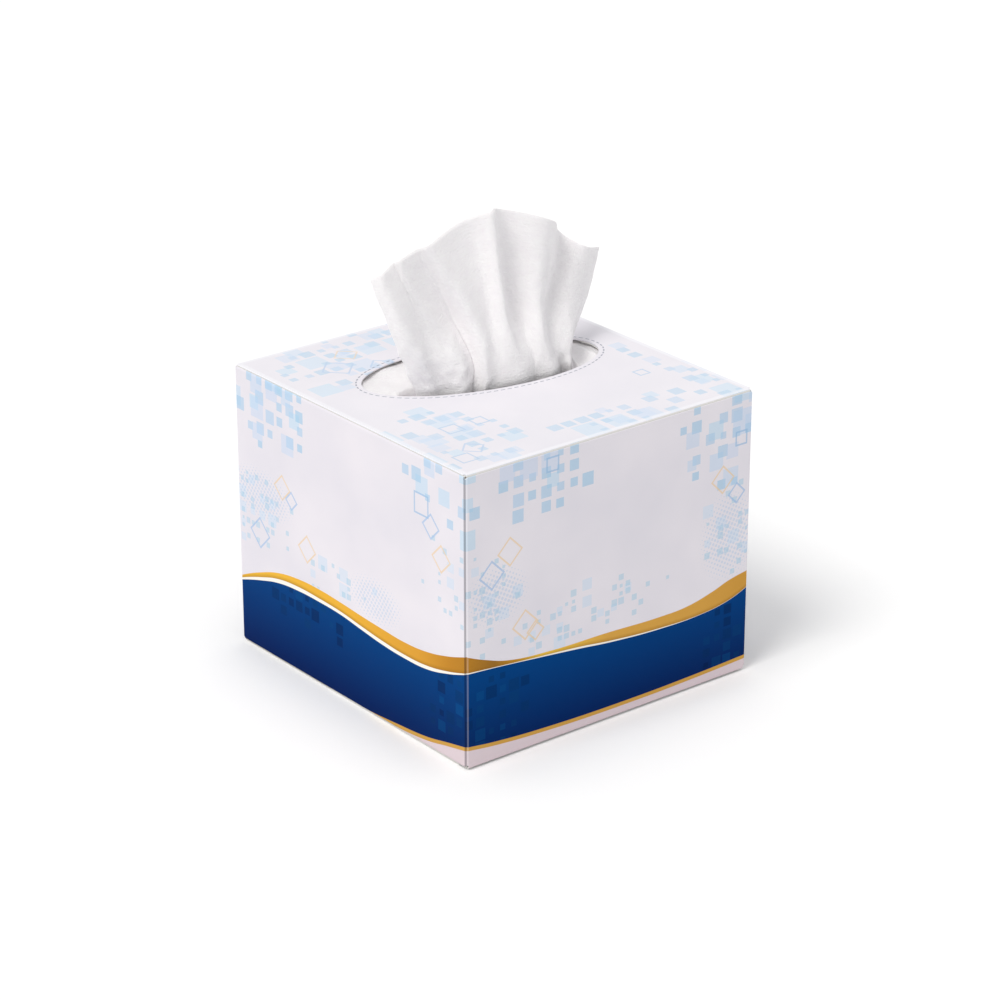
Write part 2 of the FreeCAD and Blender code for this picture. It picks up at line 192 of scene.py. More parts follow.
# Print. The walls are one strip: its length runs from the back left corner over the left wall to the
# front corner at 120, and over the front wall to 235. The other two walls carry the same strip mirrored.
STRIP_LENGTH = BOX_DEPTH + BOX_WIDTH
GOLD_TOP = [
    (0, 23.8), (11.1, 28.6), (22.2, 32.2), (33.3, 33.9), (44.4, 34.3), (55.6, 33.9), (66.7, 33.2),
    (77.8, 32.7), (88.9, 32.4), (100, 33.3), (111.1, 35.8), (120, 38.8), (126.7, 36.0), (136.7, 32.9),
    (153.3, 31.2), (175.6, 30.6), (197.8, 29.7), (208.9, 30.0), (220, 32.2), (226.7, 34.2), (235, 35.6),
]
GOLD_FOOT = [
    (0, 22.9), (11.1, 26.9), (22.2, 30.0), (33.3, 31.1), (44.4, 31.1), (55.6, 30.7), (66.7, 29.6),
    (77.8, 28.6), (88.9, 28.1), (100, 28.6), (111.1, 30.7), (120, 33.3), (131.1, 32.2), (147.8, 30.6),
    (164.4, 29.1), (177.8, 27.4), (197.8, 25.8), (214.4, 25.6), (225.6, 26.9), (235, 30.0),
]
BLUE_TOP = [
    (0, 22.2), (11.1, 25.8), (22.2, 28.6), (33.3, 29.7), (44.4, 29.9), (55.6, 29.6), (66.7, 28.4),
    (77.8, 27.3), (88.9, 26.9), (100, 27.4), (111.1, 29.9), (120, 32.9), (131.1, 32.0), (147.8, 30.3),
    (164.4, 28.5), (177.8, 26.9), (197.8, 25.5), (214.4, 25.5), (225.6, 26.8), (235, 29.9),
]
LOWER_LINE = [
    (0, -9), (44, -3), (66.7, 0.3), (83, 1.8), (100, 3.5), (111.1, 5.8), (120, 7.6), (131, 6.2),
    (153.3, 4.7), (186.7, 4.0), (208.9, 4.2), (235, 5.0),
]
LINE_LOWEST = -10.0

# The top panel lies in the same plane as the strip, with its middle far along it. Regions are x, y, half
# length and half width; diamonds are x, y and half diagonal.
TOP_START = 400.0
CELL = 5.5
UPPER_REGIONS = [(16, 88, 30, 15), (106, 88, 20, 15), (146, 90, 26, 13), (224, 86, 20, 17),
                 (360, -36, 22, 28), (370, 40, 26, 24), (412, -52, 36, 10), (451, -36, 12, 28),
                 (394, 53, 14, 9)]
LOWER_REGIONS = [(10, 50, 22, 14), (112, 58, 12, 16), (128, 54, 12, 16), (227, 52, 14, 16), (165, 40, 40, 9),
                 (56, 40, 24, 7)]
DOTTED_REGIONS = [(13, 57, 18, 9), (74, 41, 14, 8), (132, 56, 12, 10), (226, 50, 12, 16)]
BLOCK_REGIONS = [(38, 25, 22, 7), (113, 19, 14, 14), (130, 18, 16, 14), (228, 15, 14, 12)]
SAND_DIAMONDS = [(25, 63, 4.2), (38, 46, 4.6), (108, 67, 4.4), (137, 69, 4.6), (143, 43, 4.9), (147, 40, 3.2),
                 (223, 70, 4.6), (375, 44, 4.5)]
BLUE_DIAMONDS = [(30, 60, 3.0), (12, 43, 5.2), (103, 76, 4.0), (130, 63, 4.6), (229, 64, 3.4), (366, 36, 6.0),
                 (379, 30, 4.4), (358, -44, 4.0)]
REGION_NONE = 1.15
REGION_FULL = 0.55

# Strewn squares, in the order in which they are printed: regions, pitch, size, share of the cells, seed and
# outline (0 where the square is filled), then two tints and the ink's strength. Half of a square's side
# lies between the smallest and the largest share of its size.
GROUND_SQUARES = [
    (UPPER_REGIONS, 2 * CELL, 0.9, 0.6, 1, 0.0, "#B4D5E8", "#CBD2EA", 0.6),
    (UPPER_REGIONS, CELL, 0.86, 0.55, 6, 0.0, "#98C3DE", "#BFCFE6", 0.65),
    (UPPER_REGIONS, 1.5 * CELL, 0.84, 0.4, 2, 0.0, "#B4CFE8", "#CBCFE9", 0.45),
    (UPPER_REGIONS, 2 * CELL, 0.85, 0.2, 3, 0.6, "#93B9D9", "#A9BBDD", 0.7),
    (LOWER_REGIONS, CELL, 0.9, 0.4, 4, 0.0, "#C5D7E9", "#D5DFEC", 0.55),
    (LOWER_REGIONS, CELL / 2, 0.85, 0.3, 5, 0.0, "#9CC7DC", "#B5CDE6", 0.5),
]
BLUE_SQUARES = [(BLOCK_REGIONS, 0.8 * CELL, 0.98, 0.8, 8, 0.0, "#001C48", "#04508F", 0.6)]
SMALLEST_HALF = 0.22
LARGEST_HALF = 0.5

# Diamonds: spots, the line's width, its colour and the ink's strength
DIAMONDS = [(SAND_DIAMONDS, 0.55, "#E6C696", 0.65), (BLUE_DIAMONDS, 0.6, "#9DBBDD", 0.7)]
DIAGONAL_SHARE = 0.707

# Dots: their radius is a share of the pitch
DOT_PITCH = 1.4
DOT_RADIUS = 0.36
DOT_SLANT = math.radians(30)

# Gold along the strip, which shines where it turns to the light, and its brown shadow over its foot. Then
# the soft edge of each printed line, and half the width of the gold line at the blue's foot.
GOLD_STOPS = [(0, "#EAB640"), (60, "#E6AE3C"), (96, "#D79B38"), (112, "#BC822C"), (121, "#B27C2A"),
              (131, "#96692A"), (140, "#C9922F"), (149, "#F5CD55"), (158, "#E9BC4C"), (176, "#D3A04A"),
              (214, "#CF9C48"), (235, "#C6923F")]
GOLD_SHADOW_HEIGHT = 1.4
GOLD_SHADOW = 0.55
LINE_BLUR = 0.05
FOOT_LINE_HALF = 0.65

# Painted lines down the front corner, a shade line in the fold and a highlight beside it: place beside the
# fold, half width, colour and strength
CORNER_SHADE_AND_HIGHLIGHT = [(-0.4, 0.5, "#15152A", 0.5), (0.6, 0.35, "#F4F4F8", 0.12)]

# The print lies on what is nearer the outer faces than this, and the top panel is what is nearer the top
PRINT_DEPTH = 0.37
TOP_DEPTH = 0.3

# Along the top panel's folds the ink is cracked, and painted white as a highlight on the rounded fold, to
# this distance, give or take the spread, and a painted highlight makes the top panel's own edge pale a little
# further in
CRACKED_AND_HIGHLIT_WHITE = "#F2F2F6"
CRACK_AND_HIGHLIGHT_NONE = 1.3
CRACK_AND_HIGHLIGHT_FULL = 0.75
CRACK_AND_HIGHLIGHT_SPREAD = 1.2
EDGE_HIGHLIGHT_NONE = 2.4
EDGE_HIGHLIGHT_FULL = 1.5

# Cuts of the perforation: the share of its pitch that is cut, and half of a cut's width, outside and inside
# its soft edge
CUT_SHARE = 0.62
CUT_OUTSIDE = 0.3
CUT_INSIDE = 0.15

# The view, in metres. The camera aims at the box's middle, moved right and up in the picture.
VIEW_AZIMUTH = math.radians(-38.582)
VIEW_HEIGHT = math.radians(23.020)
VIEW_DISTANCE = 1.09314
VIEW_TARGET = (0, 0, 0.05)
VIEW_RIGHT = 0.002716
VIEW_UP = 0.004793
LENS = 122.01
SENSOR_WIDTH = 36.0

# Relief of the surfaces, in millimetres, with its strength, and how deep the cuts lie in the board's
BOARD_RELIEF = 0.03
BOARD_STRENGTH = 0.25
CUT_RELIEF = -4.0
CREPE_RELIEF = 0.22
CREPE_STRENGTH = 0.8

# Light
FLOOR_REACH = 4.0
SURROUND_COLOUR = (0.985, 0.99, 1, 1)
SURROUND_STRENGTH = 0.71
KEY_STRENGTH = 1.5
KEY_COLOUR = (1.0, 0.985, 0.955)
KEY_WIDTH = math.radians(26)
KEY_DIRECTION = (0.82, 0.12, -1.2)


def mix(a, b, share):
    """The value that lies this share of the way from a to b."""
    return a + (b - a) * share


def ease(share):
    """A smooth step from 0 to 1."""
    share = np.clip(share, 0.0, 1.0)
    return share * share * (3.0 - 2.0 * share)


def rising(value, start, full):
    """0 where the value has not passed the start, 1 beyond full, and a smooth step between them."""
    return ease((value - start) / (full - start))


def lengths_along(points):
    """The length along a line from its first point to each point."""
    return np.concatenate([[0.0], np.cumsum(np.linalg.norm(np.diff(points, axis=0), axis=1))])


def rumple(across, along, size, seed):
    """Smooth random heights from -1 to 1: a lattice of random numbers this far apart, eased between."""
    lattice = np.random.default_rng(seed).uniform(-1.0, 1.0, (LATTICE, LATTICE))
    u = across / size
    v = along / size
    i = np.floor(u).astype(int)
    j = np.floor(v).astype(int)
    a = ease(u - i)
    b = ease(v - j)
    left, right = i % LATTICE, (i + 1) % LATTICE
    low, high = j % LATTICE, (j + 1) % LATTICE
    return mix(mix(lattice[left, low], lattice[right, low], a),
               mix(lattice[left, high], lattice[right, high], a), b)


def slanted_rumple(s, t, slant, stretch, size, seed):
    """Rumples on the flat sheet that slant across it and are drawn out along t by a stretch below 1."""
    return rumple(s + slant * t, t * stretch, size, seed)


# Meshes

def grid_normals(points):
    """Unit normals of a grid: its step across crossed with its step along."""
    across = np.gradient(points, axis=1)
    along = np.gradient(points, axis=0)
    normal = np.cross(across, along)
    return normal / np.linalg.norm(normal, axis=2, keepdims=True)


def grid_piece(name, points, flat):
    """An object from a grid of points in millimetres, with its place on the flat sheet as a UV map."""
    rows, columns = points.shape[:2]
    index = np.arange(rows * columns).reshape(rows, columns)
    faces = np.stack([index[:-1, :-1], index[:-1, 1:], index[1:, 1:], index[1:, :-1]], axis=-1)
    faces = faces.reshape(-1, 4)
    mesh = bpy.data.meshes.new(name)
    mesh.from_pydata(points.reshape(-1, 3) * MM, [], faces)
    mesh.polygons.foreach_set("use_smooth", np.ones(len(faces), dtype=bool))
    places = mesh.uv_layers.new(name="flat_sheet")
    places.uv.foreach_set("vector", (flat.reshape(-1, 2)[faces.ravel()] * MM).ravel())
    piece = bpy.data.objects.new(name, mesh)
    bpy.context.scene.collection.objects.link(piece)
    return piece


def merged(piece):
    """Joins a closed grid's seam and poles."""
    work = bmesh.new()
    work.from_mesh(piece.data)
    bmesh.ops.remove_doubles(work, verts=work.verts, dist=0.01 * MM)
    bmesh.ops.recalc_face_normals(work, faces=work.faces)
    work.to_mesh(piece.data)
    work.free()


def thickened(piece, thickness):
    """Gives a sheet its thickness, half on each side."""
    solid = piece.modifiers.new("thickness", "SOLIDIFY")
    solid.thickness = thickness * MM
    solid.offset = 0.0


# Raised sheet

def spline_weights(marks, places):
    """Each mark's weight in the natural cubic spline through the marks, one row for each place."""
    count = len(marks)
    gaps = np.diff(marks)
    inner = np.arange(1, count - 1)
    system = np.eye(count)
    system[inner, inner - 1] = gaps[:-1]
    system[inner, inner] = 2 * (gaps[:-1] + gaps[1:])
    system[inner, inner + 1] = gaps[1:]
    slopes = np.zeros((count, count))
    slopes[inner, inner - 1] = 6 / gaps[:-1]
    slopes[inner, inner] = -6 / gaps[:-1] - 6 / gaps[1:]
    slopes[inner, inner + 1] = 6 / gaps[1:]
    bends = np.linalg.solve(system, slopes)
    k = np.clip(np.searchsorted(marks, places, side="right") - 1, 0, count - 2)
    gap = gaps[k][:, None]
    after = (places - marks[k])[:, None] / gap
    before = 1 - after
    unit = np.eye(count)
    return (before * unit[k] + after * unit[k + 1]
            + ((before ** 3 - before) * bends[k] + (after ** 3 - after) * bends[k + 1]) * gap ** 2 / 6)


def fold_rows(share):
    """The fold lines above the opening: at each share of the height, the cubic through four places."""
    weights = np.ones((len(share), 4))
    for k in range(4):
        for m in range(4):
            if m != k:
                weights[:, k] *= (share - FOLD_HEIGHTS[m]) / (FOLD_HEIGHTS[k] - FOLD_HEIGHTS[m])
    plan = np.einsum("rk,lkc->rlc", weights, LINE_PLACES)
    height = mix(BOX_HEIGHT, TOP_EDGE[None, :], share[:, None])
    return np.concatenate([plan, height[:, :, None]], axis=2)


def stack_top(y):
    """Height of the stack's crowned top, a parabola from front to back."""
    return STACK_BASE + STACK_HEIGHT - STACK_CROWN * (y / (STACK_LENGTH / 2)) ** 2


def flattening(share):
    """What is left of the folds' depth at a share of the way from the opening to the back fold."""
    return 1.0 - ease(share * 0.9 + 0.1)


def way_down():
    """Below the opening: straight down, a quarter circle, back over the stack, a half circle, and forward
    again under itself. Columns are y, z, the normal's y and z, and the share of the way to the back fold."""
    bend_z = stack_top(BEND_CENTRE_Y) + UPPER_RUN + BEND_RADIUS
    throat = BOX_HEIGHT - bend_z
    quarter = BEND_RADIUS * math.pi / 2
    total = throat + quarter + BACK_FOLD_Y - BEND_CENTRE_Y
    drop = np.linspace(0, throat, DROP_ROWS)[1:]
    one = np.ones_like(drop)
    down = [SHEET_FRONT * one, BOX_HEIGHT - drop, one, 0 * drop, drop / total]
    angle = np.linspace(0, math.pi / 2, BEND_ROWS)[1:]
    bend = [BEND_CENTRE_Y - BEND_RADIUS * np.cos(angle), bend_z - BEND_RADIUS * np.sin(angle),
            np.cos(angle), np.sin(angle), (throat + BEND_RADIUS * angle) / total]
    y = np.linspace(BEND_CENTRE_Y, BACK_FOLD_Y, OVER_ROWS)[1:]
    back = [y, stack_top(y) + UPPER_RUN, 0 * y, np.ones_like(y), (total - (BACK_FOLD_Y - y)) / total]
    angle = np.linspace(0, math.pi, BACK_FOLD_ROWS)[1:]
    fold_z = stack_top(BACK_FOLD_Y) + LOWER_RUN + BACK_FOLD_RADIUS
    fold = [BACK_FOLD_Y + BACK_FOLD_RADIUS * np.sin(angle), fold_z + BACK_FOLD_RADIUS * np.cos(angle),
            np.sin(angle), np.cos(angle), np.ones_like(angle)]
    y = np.linspace(BACK_FOLD_Y, -BACK_FOLD_Y, UNDER_ROWS)[1:]
    under = [y, stack_top(y) + LOWER_RUN, 0 * y, -np.ones_like(y), np.ones_like(y)]
    return np.concatenate([np.array(part).T for part in (down, bend, back, fold, under)])


def lower_rows():
    """The fold lines below the opening: each keeps its depth behind the sheet's front until it flattens,
    and moves sideways to its place on the flat sheet."""
    mouth = LINE_PLACES[:, 0, :]
    marks = lengths_along(mouth)
    flat = mix(-SHEET_WIDTH / 4, SHEET_WIDTH / 4, marks / marks[-1])
    y, z, normal_y, normal_z, share = [column[:, None] for column in way_down().T]
    depth = (mouth[None, :, 1] - SHEET_FRONT) * flattening(share)
    x = mix(mouth[None, :, 0], flat[None, :], ease(share))
    return np.stack([x, y + normal_y * depth, z + normal_z * depth], axis=2)


def card_edge(x):
    """The y of the opening's front edge at each x: the lower root of the turned ellipse's equation."""
    turn = OPENING_TURN
    along = OPENING_HALF_LENGTH ** -2
    across = OPENING_HALF_WIDTH ** -2
    a = along * math.sin(turn) ** 2 + across * math.cos(turn) ** 2
    b = (along - across) * math.sin(turn) * math.cos(turn)
    c = along * math.cos(turn) ** 2 + across * math.sin(turn) ** 2
    x = x - OPENING_CENTRE[0]
    root = np.sqrt(np.maximum((b * x) ** 2 - a * (c * x * x - 1), 0.0))
    return OPENING_CENTRE[1] - (b * x + root) / a


def raised_surface():
    """The sheet's front layer: fold lines from the top edge down to the stack, joined across by a
    cubic spline, filling the opening's front, with small creases that run along the folds and crumpled
    facets near the opening. Returns points and flat places."""
    rows = np.concatenate([fold_rows(np.linspace(1.0, 0.0, FAN_ROWS)), lower_rows()])
    marks = lengths_along(LINE_PLACES[:, 1, :])
    across = np.linspace(0.0, marks[-1], FAN_COLUMNS)
    front = np.einsum("cl,rlk->rck", spline_weights(marks, across), rows)
    steps = np.linalg.norm(np.diff(front, axis=0), axis=2).mean(axis=1)
    along = np.concatenate([[0.0], np.cumsum(steps)])
    s, t = np.meshgrid(across / marks[-1] * SHEET_WIDTH / 2, along)

    x, y, z = np.moveaxis(front, 2, 0)
    depth = np.maximum(y - card_edge(x) - FILL_CLEARANCE, 0.0)
    filled = rising(z, *FILL_TOP_FROM_TO) * rising(z, *FILL_FOOT_FROM_TO)
    front[:, :, 1] -= FILL * depth * filled * rising(s, *FILL_RIGHT_FROM_TO)

    in_fan = rising(t, *FAN_T_FROM_TO)
    narrow, wide, fine = (mix(near, fan, in_fan) * slanted_rumple(s, t, *form)
                          for near, fan, *form in (NARROW_CREASES, WIDE_CREASES, FINE_CREASES))
    creases = narrow * rising(t, *NARROW_T_FROM_TO) + wide + fine
    crumpled = rising(t, *CRUMPLED_TOP_T_FROM_TO) * rising(t, *CRUMPLED_FOOT_T_FROM_TO)
    crumpled *= mix(1.0, CRUMPLED_LESS, rising(s, *CRUMPLED_LESS_S_FROM_TO))
    crumpled *= 1.0 - SMOOTHED * rising(np.abs(s - SMOOTH_S), *SMOOTH_S_FROM_TO)
    for height, *form in CRUMPLES:
        creases += height * (np.abs(slanted_rumple(s, t, *form)) - CRUMPLE_MEAN) * crumpled
    creases *= rising(t, *CREASED_T_FROM_TO)
    return front + grid_normals(front) * creases[:, :, None], s, t


def raised_sheet():
    """One sheet folded lengthwise: the front layer, a half circle round the fold on the left, and the
    back layer a gap behind it, nearer at the top edge."""
    front, s, t = raised_surface()
    normal = grid_normals(front) * mix(TOP_GAP_SHARE, 1.0, rising(t, 0.0, WHOLE_GAP_T))[:, :, None]
    back = front + normal * LAYER_GAP
    edge = front[:, :1]
    edge_normal = normal[:, :1]
    outward = edge - front[:, 1:2]
    outward /= np.linalg.norm(outward, axis=2, keepdims=True)
    angle = np.linspace(0, math.pi, EDGE_FOLD_STEPS)[1:-1][None, :, None]
    middle = edge + edge_normal * (LAYER_GAP / 2)
    turn = middle + (outward * np.sin(angle) - edge_normal * np.cos(angle)) * (LAYER_GAP / 2)
    points = np.concatenate([front[:, ::-1], turn, back], axis=1)
    half = SHEET_WIDTH / 2
    places = np.concatenate([half - s[:, ::-1], np.full(turn.shape[:2], half), half + s], axis=1)
    along = np.broadcast_to(t[:, :1], places.shape)
    piece = grid_piece("raised_sheet", points, np.stack([places, along], axis=2))
    thickened(piece, PLY)
    return piece


# Next sheet and stack

def next_floor(x, y):
    """Height of what lies below the next sheet: the raised sheet's waves where it runs back over the
    stack, and only its folded-back half beside them."""
    share = (y - SHEET_FRONT) / (BACK_FOLD_Y - SHEET_FRONT)
    waves = (LINE_PLACES[:, 0, 1].max() - SHEET_FRONT) * flattening(share)
    under_edge = stack_top(y) + LOWER_RUN + PLY + NEXT_REST_GAP
    over_run = stack_top(y) + UPPER_RUN + LAYER_GAP + PLY + NEXT_REST_GAP + waves
    half = SHEET_WIDTH / 4
    left = mix(LINE_PLACES[0, 0, 0], -half, ease(share))
    right = mix(LINE_PLACES[-1, 0, 0], half, ease(share))
    inside = np.minimum(x - left, right - x)
    return mix(under_edge, over_run, ease((inside + NEXT_EDGE_REACH) / NEXT_EDGE_RUN))


def plan_curve(points, count):
    """A smooth curve in plan through the points, by the length between them, at this many places."""
    marks = lengths_along(points)
    index = np.linspace(0, len(points) - 1, count)
    return spline_weights(marks, np.interp(index, np.arange(len(points)), marks)) @ points


def next_sheet():
    """The sheet that follows, cupped round the raised one: its inner edge hangs down beside that, then it
    is level just under the card as far as the rim, and eases down to what it lies on. Creases of three
    sizes lie over that, the larger ones with sharp crests."""
    near = plan_curve(NEXT_INNER, NEXT_PLACES)
    far = plan_curve(NEXT_OUTER, NEXT_PLACES)
    share = np.linspace(0.0, 1.0, NEXT_STEPS)[None, :]
    x = mix(near[:, :1], far[:, :1], share)
    y = mix(near[:, 1:], far[:, 1:], share)
    lift = 1.0 - rising(share, NEXT_LEVEL_SHARE, 1.0)
    waves = sum(height * np.sin(along_x * x + along_y * y) for height, along_x, along_y in NEXT_WAVES)
    height, *form = NEXT_CRESTS
    crests = height * np.abs(slanted_rumple(x, y, *form))
    height, slant, *form = NEXT_GROOVES
    grooves = height * np.abs(rumple(x, y + slant * x, *form))
    height, *form = NEXT_GRAIN
    creases = waves + (crests - grooves + height * rumple(x, y, *form))
    floor = next_floor(x, y)
    highest = BOX_HEIGHT - BOARD - NEXT_UNDER_CARD
    highest = highest + NEXT_MIDDLE_RISE * rising(np.abs(x), *NEXT_MIDDLE_FROM_TO)
    dip = np.sin(math.pi * np.clip(share / NEXT_DIP_SHARE, 0.0, 1.0))
    dip = dip * mix(NEXT_DIP_LEFT, NEXT_DIP_RIGHT, rising(x, *NEXT_DIP_FROM_TO))
    level = highest - dip - NEXT_HANG * rising(share, *NEXT_HANG_FROM_TO)
    z = mix(floor, np.maximum(floor, level), lift) + creases * lift
    points = np.stack([x, y, z], axis=2)
    piece = grid_piece("next_sheet", points, points[:, :, :2])
    thickened(piece, PLY)
    return piece


def sheet_stack():
    """The stack: a profile with a crowned top and bulged sides carried from left to right, its sides
    rippled where the folded sheets end, and closed by a fan at each end."""
    edge = STACK_LENGTH / 2
    height = stack_top(edge) - STACK_BASE - STACK_CORNER
    corner = np.linspace(-math.pi / 2, 0, STACK_CORNER_ROWS)[:, None]
    side = np.linspace(0, 1, STACK_SIDE_ROWS)[1:, None]
    ripple = np.abs(np.sin(math.pi * height * side / STACK_RIPPLE_PITCH))
    swell = edge + STACK_BULGE * 4 * side * (1 - side) - STACK_RIPPLE * ripple
    rounding = np.hstack([edge - STACK_CORNER + STACK_CORNER * np.cos(corner),
                          STACK_BASE + STACK_CORNER + STACK_CORNER * np.sin(corner)])
    rise = np.hstack([swell, STACK_BASE + STACK_CORNER + height * side])
    y = np.linspace(edge, 0, STACK_CROWN_ROWS)[1:, None]
    crown = np.hstack([y, stack_top(y)])
    half = np.concatenate([rounding, rise, crown])
    profile = np.concatenate([half, half[-2::-1] * [-1, 1], half[:1]])
    centre = np.array([0.0, STACK_BASE + STACK_HEIGHT / 2])
    x = np.linspace(-STACK_WIDTH / 2, STACK_WIDTH / 2, STACK_PLACES)
    body = np.stack([np.column_stack([np.full(len(profile), place), profile]) for place in x])
    ends = [np.tile([[place, *centre]], (len(profile), 1))[None] for place in (x[0], x[-1])]
    points = np.concatenate([ends[0], body, ends[1]])
    piece = grid_piece("sheet_stack", points, points[:, :, 1:])
    merged(piece)
    return piece


# Materials

def linear(code):
    """A colour's linear values from its sRGB hex code."""
    values = [int(code[k:k + 2], 16) / 255 for k in (1, 3, 5)]
    return [v / 12.92 if v <= 0.04045 else ((v + 0.055) / 1.055) ** 2.4 for v in values] + [1.0]


def add(tree, kind, *values, out=0, **settings):
    """Adds a node, with its settings, and its inputs set or linked in order, and returns one output."""
    node = tree.nodes.new("ShaderNode" + kind)
    for name, value in settings.items():
        setattr(node, name, value)
    for socket, value in zip(node.inputs, values):
        if isinstance(value, bpy.types.NodeSocket):
            tree.links.new(value, socket)
        elif value is not None:
            socket.default_value = value
    return node.outputs[out]


def new_material(name):
    """A material with its node tree and its shader."""
    material = bpy.data.materials.new(name)
    material.use_nodes = True
    return material, material.node_tree, material.node_tree.nodes["Principled BSDF"]


def noise(tree, where, scale, detail, roughness, dimensions="3D"):
    """Cloudy noise from 0 to 1."""
    return add(tree, "TexNoise", where, None, scale, detail, roughness, noise_dimensions=dimensions)


def in_millimetres(tree, where):
    """A place in metres as millimetres."""
    return add(tree, "VectorMath", where, (1 / MM,) * 3, operation="MULTIPLY")


def print_line(tree, along, points):
    """The height of a printed line on the strip: a smooth curve through its points, sharp at the front
    corner."""
    share = add(tree, "Math", along, STRIP_LENGTH, operation="DIVIDE")
    curve = add(tree, "FloatCurve", 1.0, share)
    mapping = curve.node.mapping
    reach = BOX_HEIGHT - LINE_LOWEST
    marks = mapping.curves[0].points
    for place, height in points[1:-1]:
        marks.new(place / STRIP_LENGTH, (height - LINE_LOWEST) / reach)
    marks[0].location = (0.0, (points[0][1] - LINE_LOWEST) / reach)
    marks[-1].location = (1.0, (points[-1][1] - LINE_LOWEST) / reach)
    for mark in marks:
        if math.isclose(mark.location[0] * STRIP_LENGTH, BOX_DEPTH, abs_tol=0.1):
            mark.handle_type = "VECTOR"
    mapping.update()
    return add(tree, "Math", curve, reach, LINE_LOWEST, operation="MULTIPLY_ADD")


def below(tree, height, line, offset=0.0):
    """1 under a printed line, moved down by the offset, and 0 above it, over a tenth of a millimetre."""
    gap = add(tree, "Math", line, height, operation="SUBTRACT")
    return add(tree, "MapRange", gap, offset - LINE_BLUR, offset + LINE_BLUR, 0.0, 1.0)


def regions(tree, place, ovals):
    """1 inside any of the ovals and fading to 0 outside them. Each is x, y, half length, half width."""
    total = 0.0
    for x, y, length, width in ovals:
        away = add(tree, "VectorMath", place, (x, y, 0), operation="SUBTRACT")
        away = add(tree, "VectorMath", away, (length, width, 1), operation="DIVIDE")
        away = add(tree, "VectorMath", away, operation="LENGTH", out="Value")
        inside = add(tree, "MapRange", away, REGION_NONE, REGION_FULL, 0.0, 1.0)
        total = add(tree, "Math", total, inside, operation="MAXIMUM")
    return total


def loose_squares(tree, place, ovals, pitch, size, share, seed, outline):
    """Squares strewn over ovals: one in some cells of a grid, pushed off its centre and of a random size,
    fewer where the ovals fade. Returns where they are and a random number for each one's tint."""
    shift = (seed % 2 / 2, seed % 3 / 2, 0)
    place = add(tree, "VectorMath", place, (1 / pitch, 1 / pitch, 1), shift, operation="MULTIPLY_ADD")
    cell = add(tree, "VectorMath", place, operation="FLOOR")
    middle = add(tree, "VectorMath", cell, (0.5 - shift[0], 0.5 - shift[1], 0), operation="ADD")
    middle = add(tree, "VectorMath", middle, (pitch, pitch, 1), operation="MULTIPLY")
    region = regions(tree, middle, ovals)
    cell = add(tree, "VectorMath", cell, (0, 0, seed), operation="ADD")
    chance = add(tree, "TexWhiteNoise", cell, noise_dimensions="3D", out="Color")
    other = add(tree, "TexWhiteNoise", cell, noise_dimensions="3D", out="Value")
    inside = add(tree, "VectorMath", place, operation="FRACTION")
    inside = add(tree, "VectorMath", inside, (0.5, 0.5, 0), operation="SUBTRACT")
    push = add(tree, "VectorMath", chance, (0.5, 0.5, 0), operation="SUBTRACT")
    push = add(tree, "VectorMath", push, (1 - size, 1 - size, 0), operation="MULTIPLY")
    inside = add(tree, "VectorMath", inside, push, operation="SUBTRACT")
    inside = add(tree, "VectorMath", inside, operation="ABSOLUTE")
    sides = add(tree, "SeparateXYZ", inside).node.outputs
    away = add(tree, "Math", sides[0], sides[1], operation="MAXIMUM")
    randoms = add(tree, "SeparateXYZ", chance).node.outputs
    reach = add(tree, "MapRange", randoms[2], 0.0, 1.0, SMALLEST_HALF * size, LARGEST_HALF * size)
    mask = add(tree, "Math", away, reach, operation="LESS_THAN")
    if outline:
        hole = add(tree, "Math", reach, outline / pitch, operation="SUBTRACT")
        edge = add(tree, "Math", away, hole, operation="GREATER_THAN")
        mask = add(tree, "Math", mask, edge, operation="MULTIPLY")
    wanted = add(tree, "Math", region, share, operation="MULTIPLY")
    present = add(tree, "Math", other, wanted, operation="LESS_THAN")
    return add(tree, "Math", mask, present, operation="MULTIPLY"), randoms[0]


def diamond_outlines(tree, place, spots, width):
    """1 on the outline of each diamond, given as x, y and half diagonal. Across the line |x| + |y| grows by
    the root of two for each millimetre, so half of the width comes to 0.707 of it."""
    total = 0.0
    for x, y, half in spots:
        away = add(tree, "VectorMath", place, (x, y, 0), operation="SUBTRACT")
        away = add(tree, "VectorMath", away, operation="ABSOLUTE")
        away = add(tree, "VectorMath", away, (1, 1, 0), operation="DOT_PRODUCT", out="Value")
        away = add(tree, "Math", away, half, operation="SUBTRACT")
        away = add(tree, "Math", away, operation="ABSOLUTE")
        line = add(tree, "Math", away, width * DIAGONAL_SHARE, operation="LESS_THAN")
        total = add(tree, "Math", total, line, operation="MAXIMUM")
    return total


def halftone(tree, place, region):
    """Dots on a slanted square grid, largest in the middle of a region."""
    place = add(tree, "Mapping", place, None, (0, 0, DOT_SLANT), (1 / DOT_PITCH,) * 3, vector_type="POINT")
    inside = add(tree, "VectorMath", place, operation="FRACTION")
    inside = add(tree, "VectorMath", inside, (0.5, 0.5, 0), operation="SUBTRACT")
    inside = add(tree, "VectorMath", inside, (1, 1, 0), operation="MULTIPLY")
    away = add(tree, "VectorMath", inside, operation="LENGTH", out="Value")
    reach = add(tree, "Math", region, DOT_RADIUS, operation="MULTIPLY")
    return add(tree, "Math", away, reach, operation="LESS_THAN")


def laid_over(tree, ground, colour, mask, strength=1.0):
    """A colour printed over the ground where the mask is 1, as strong as given."""
    share = add(tree, "Math", mask, strength, operation="MULTIPLY")
    return add(tree, "MixRGB", share, ground, colour)


def blended(tree, share, first, second):
    """A colour that lies this share of the way between two."""
    return add(tree, "MixRGB", share, linear(first), linear(second))


def strewn(tree, place, colour, squares):
    """A colour with each row of strewn squares printed on it, tinted at random."""
    for *form, first, second, strength in squares:
        mask, chance = loose_squares(tree, place, *form)
        colour = laid_over(tree, colour, blended(tree, chance, first, second), mask, strength)
    return colour


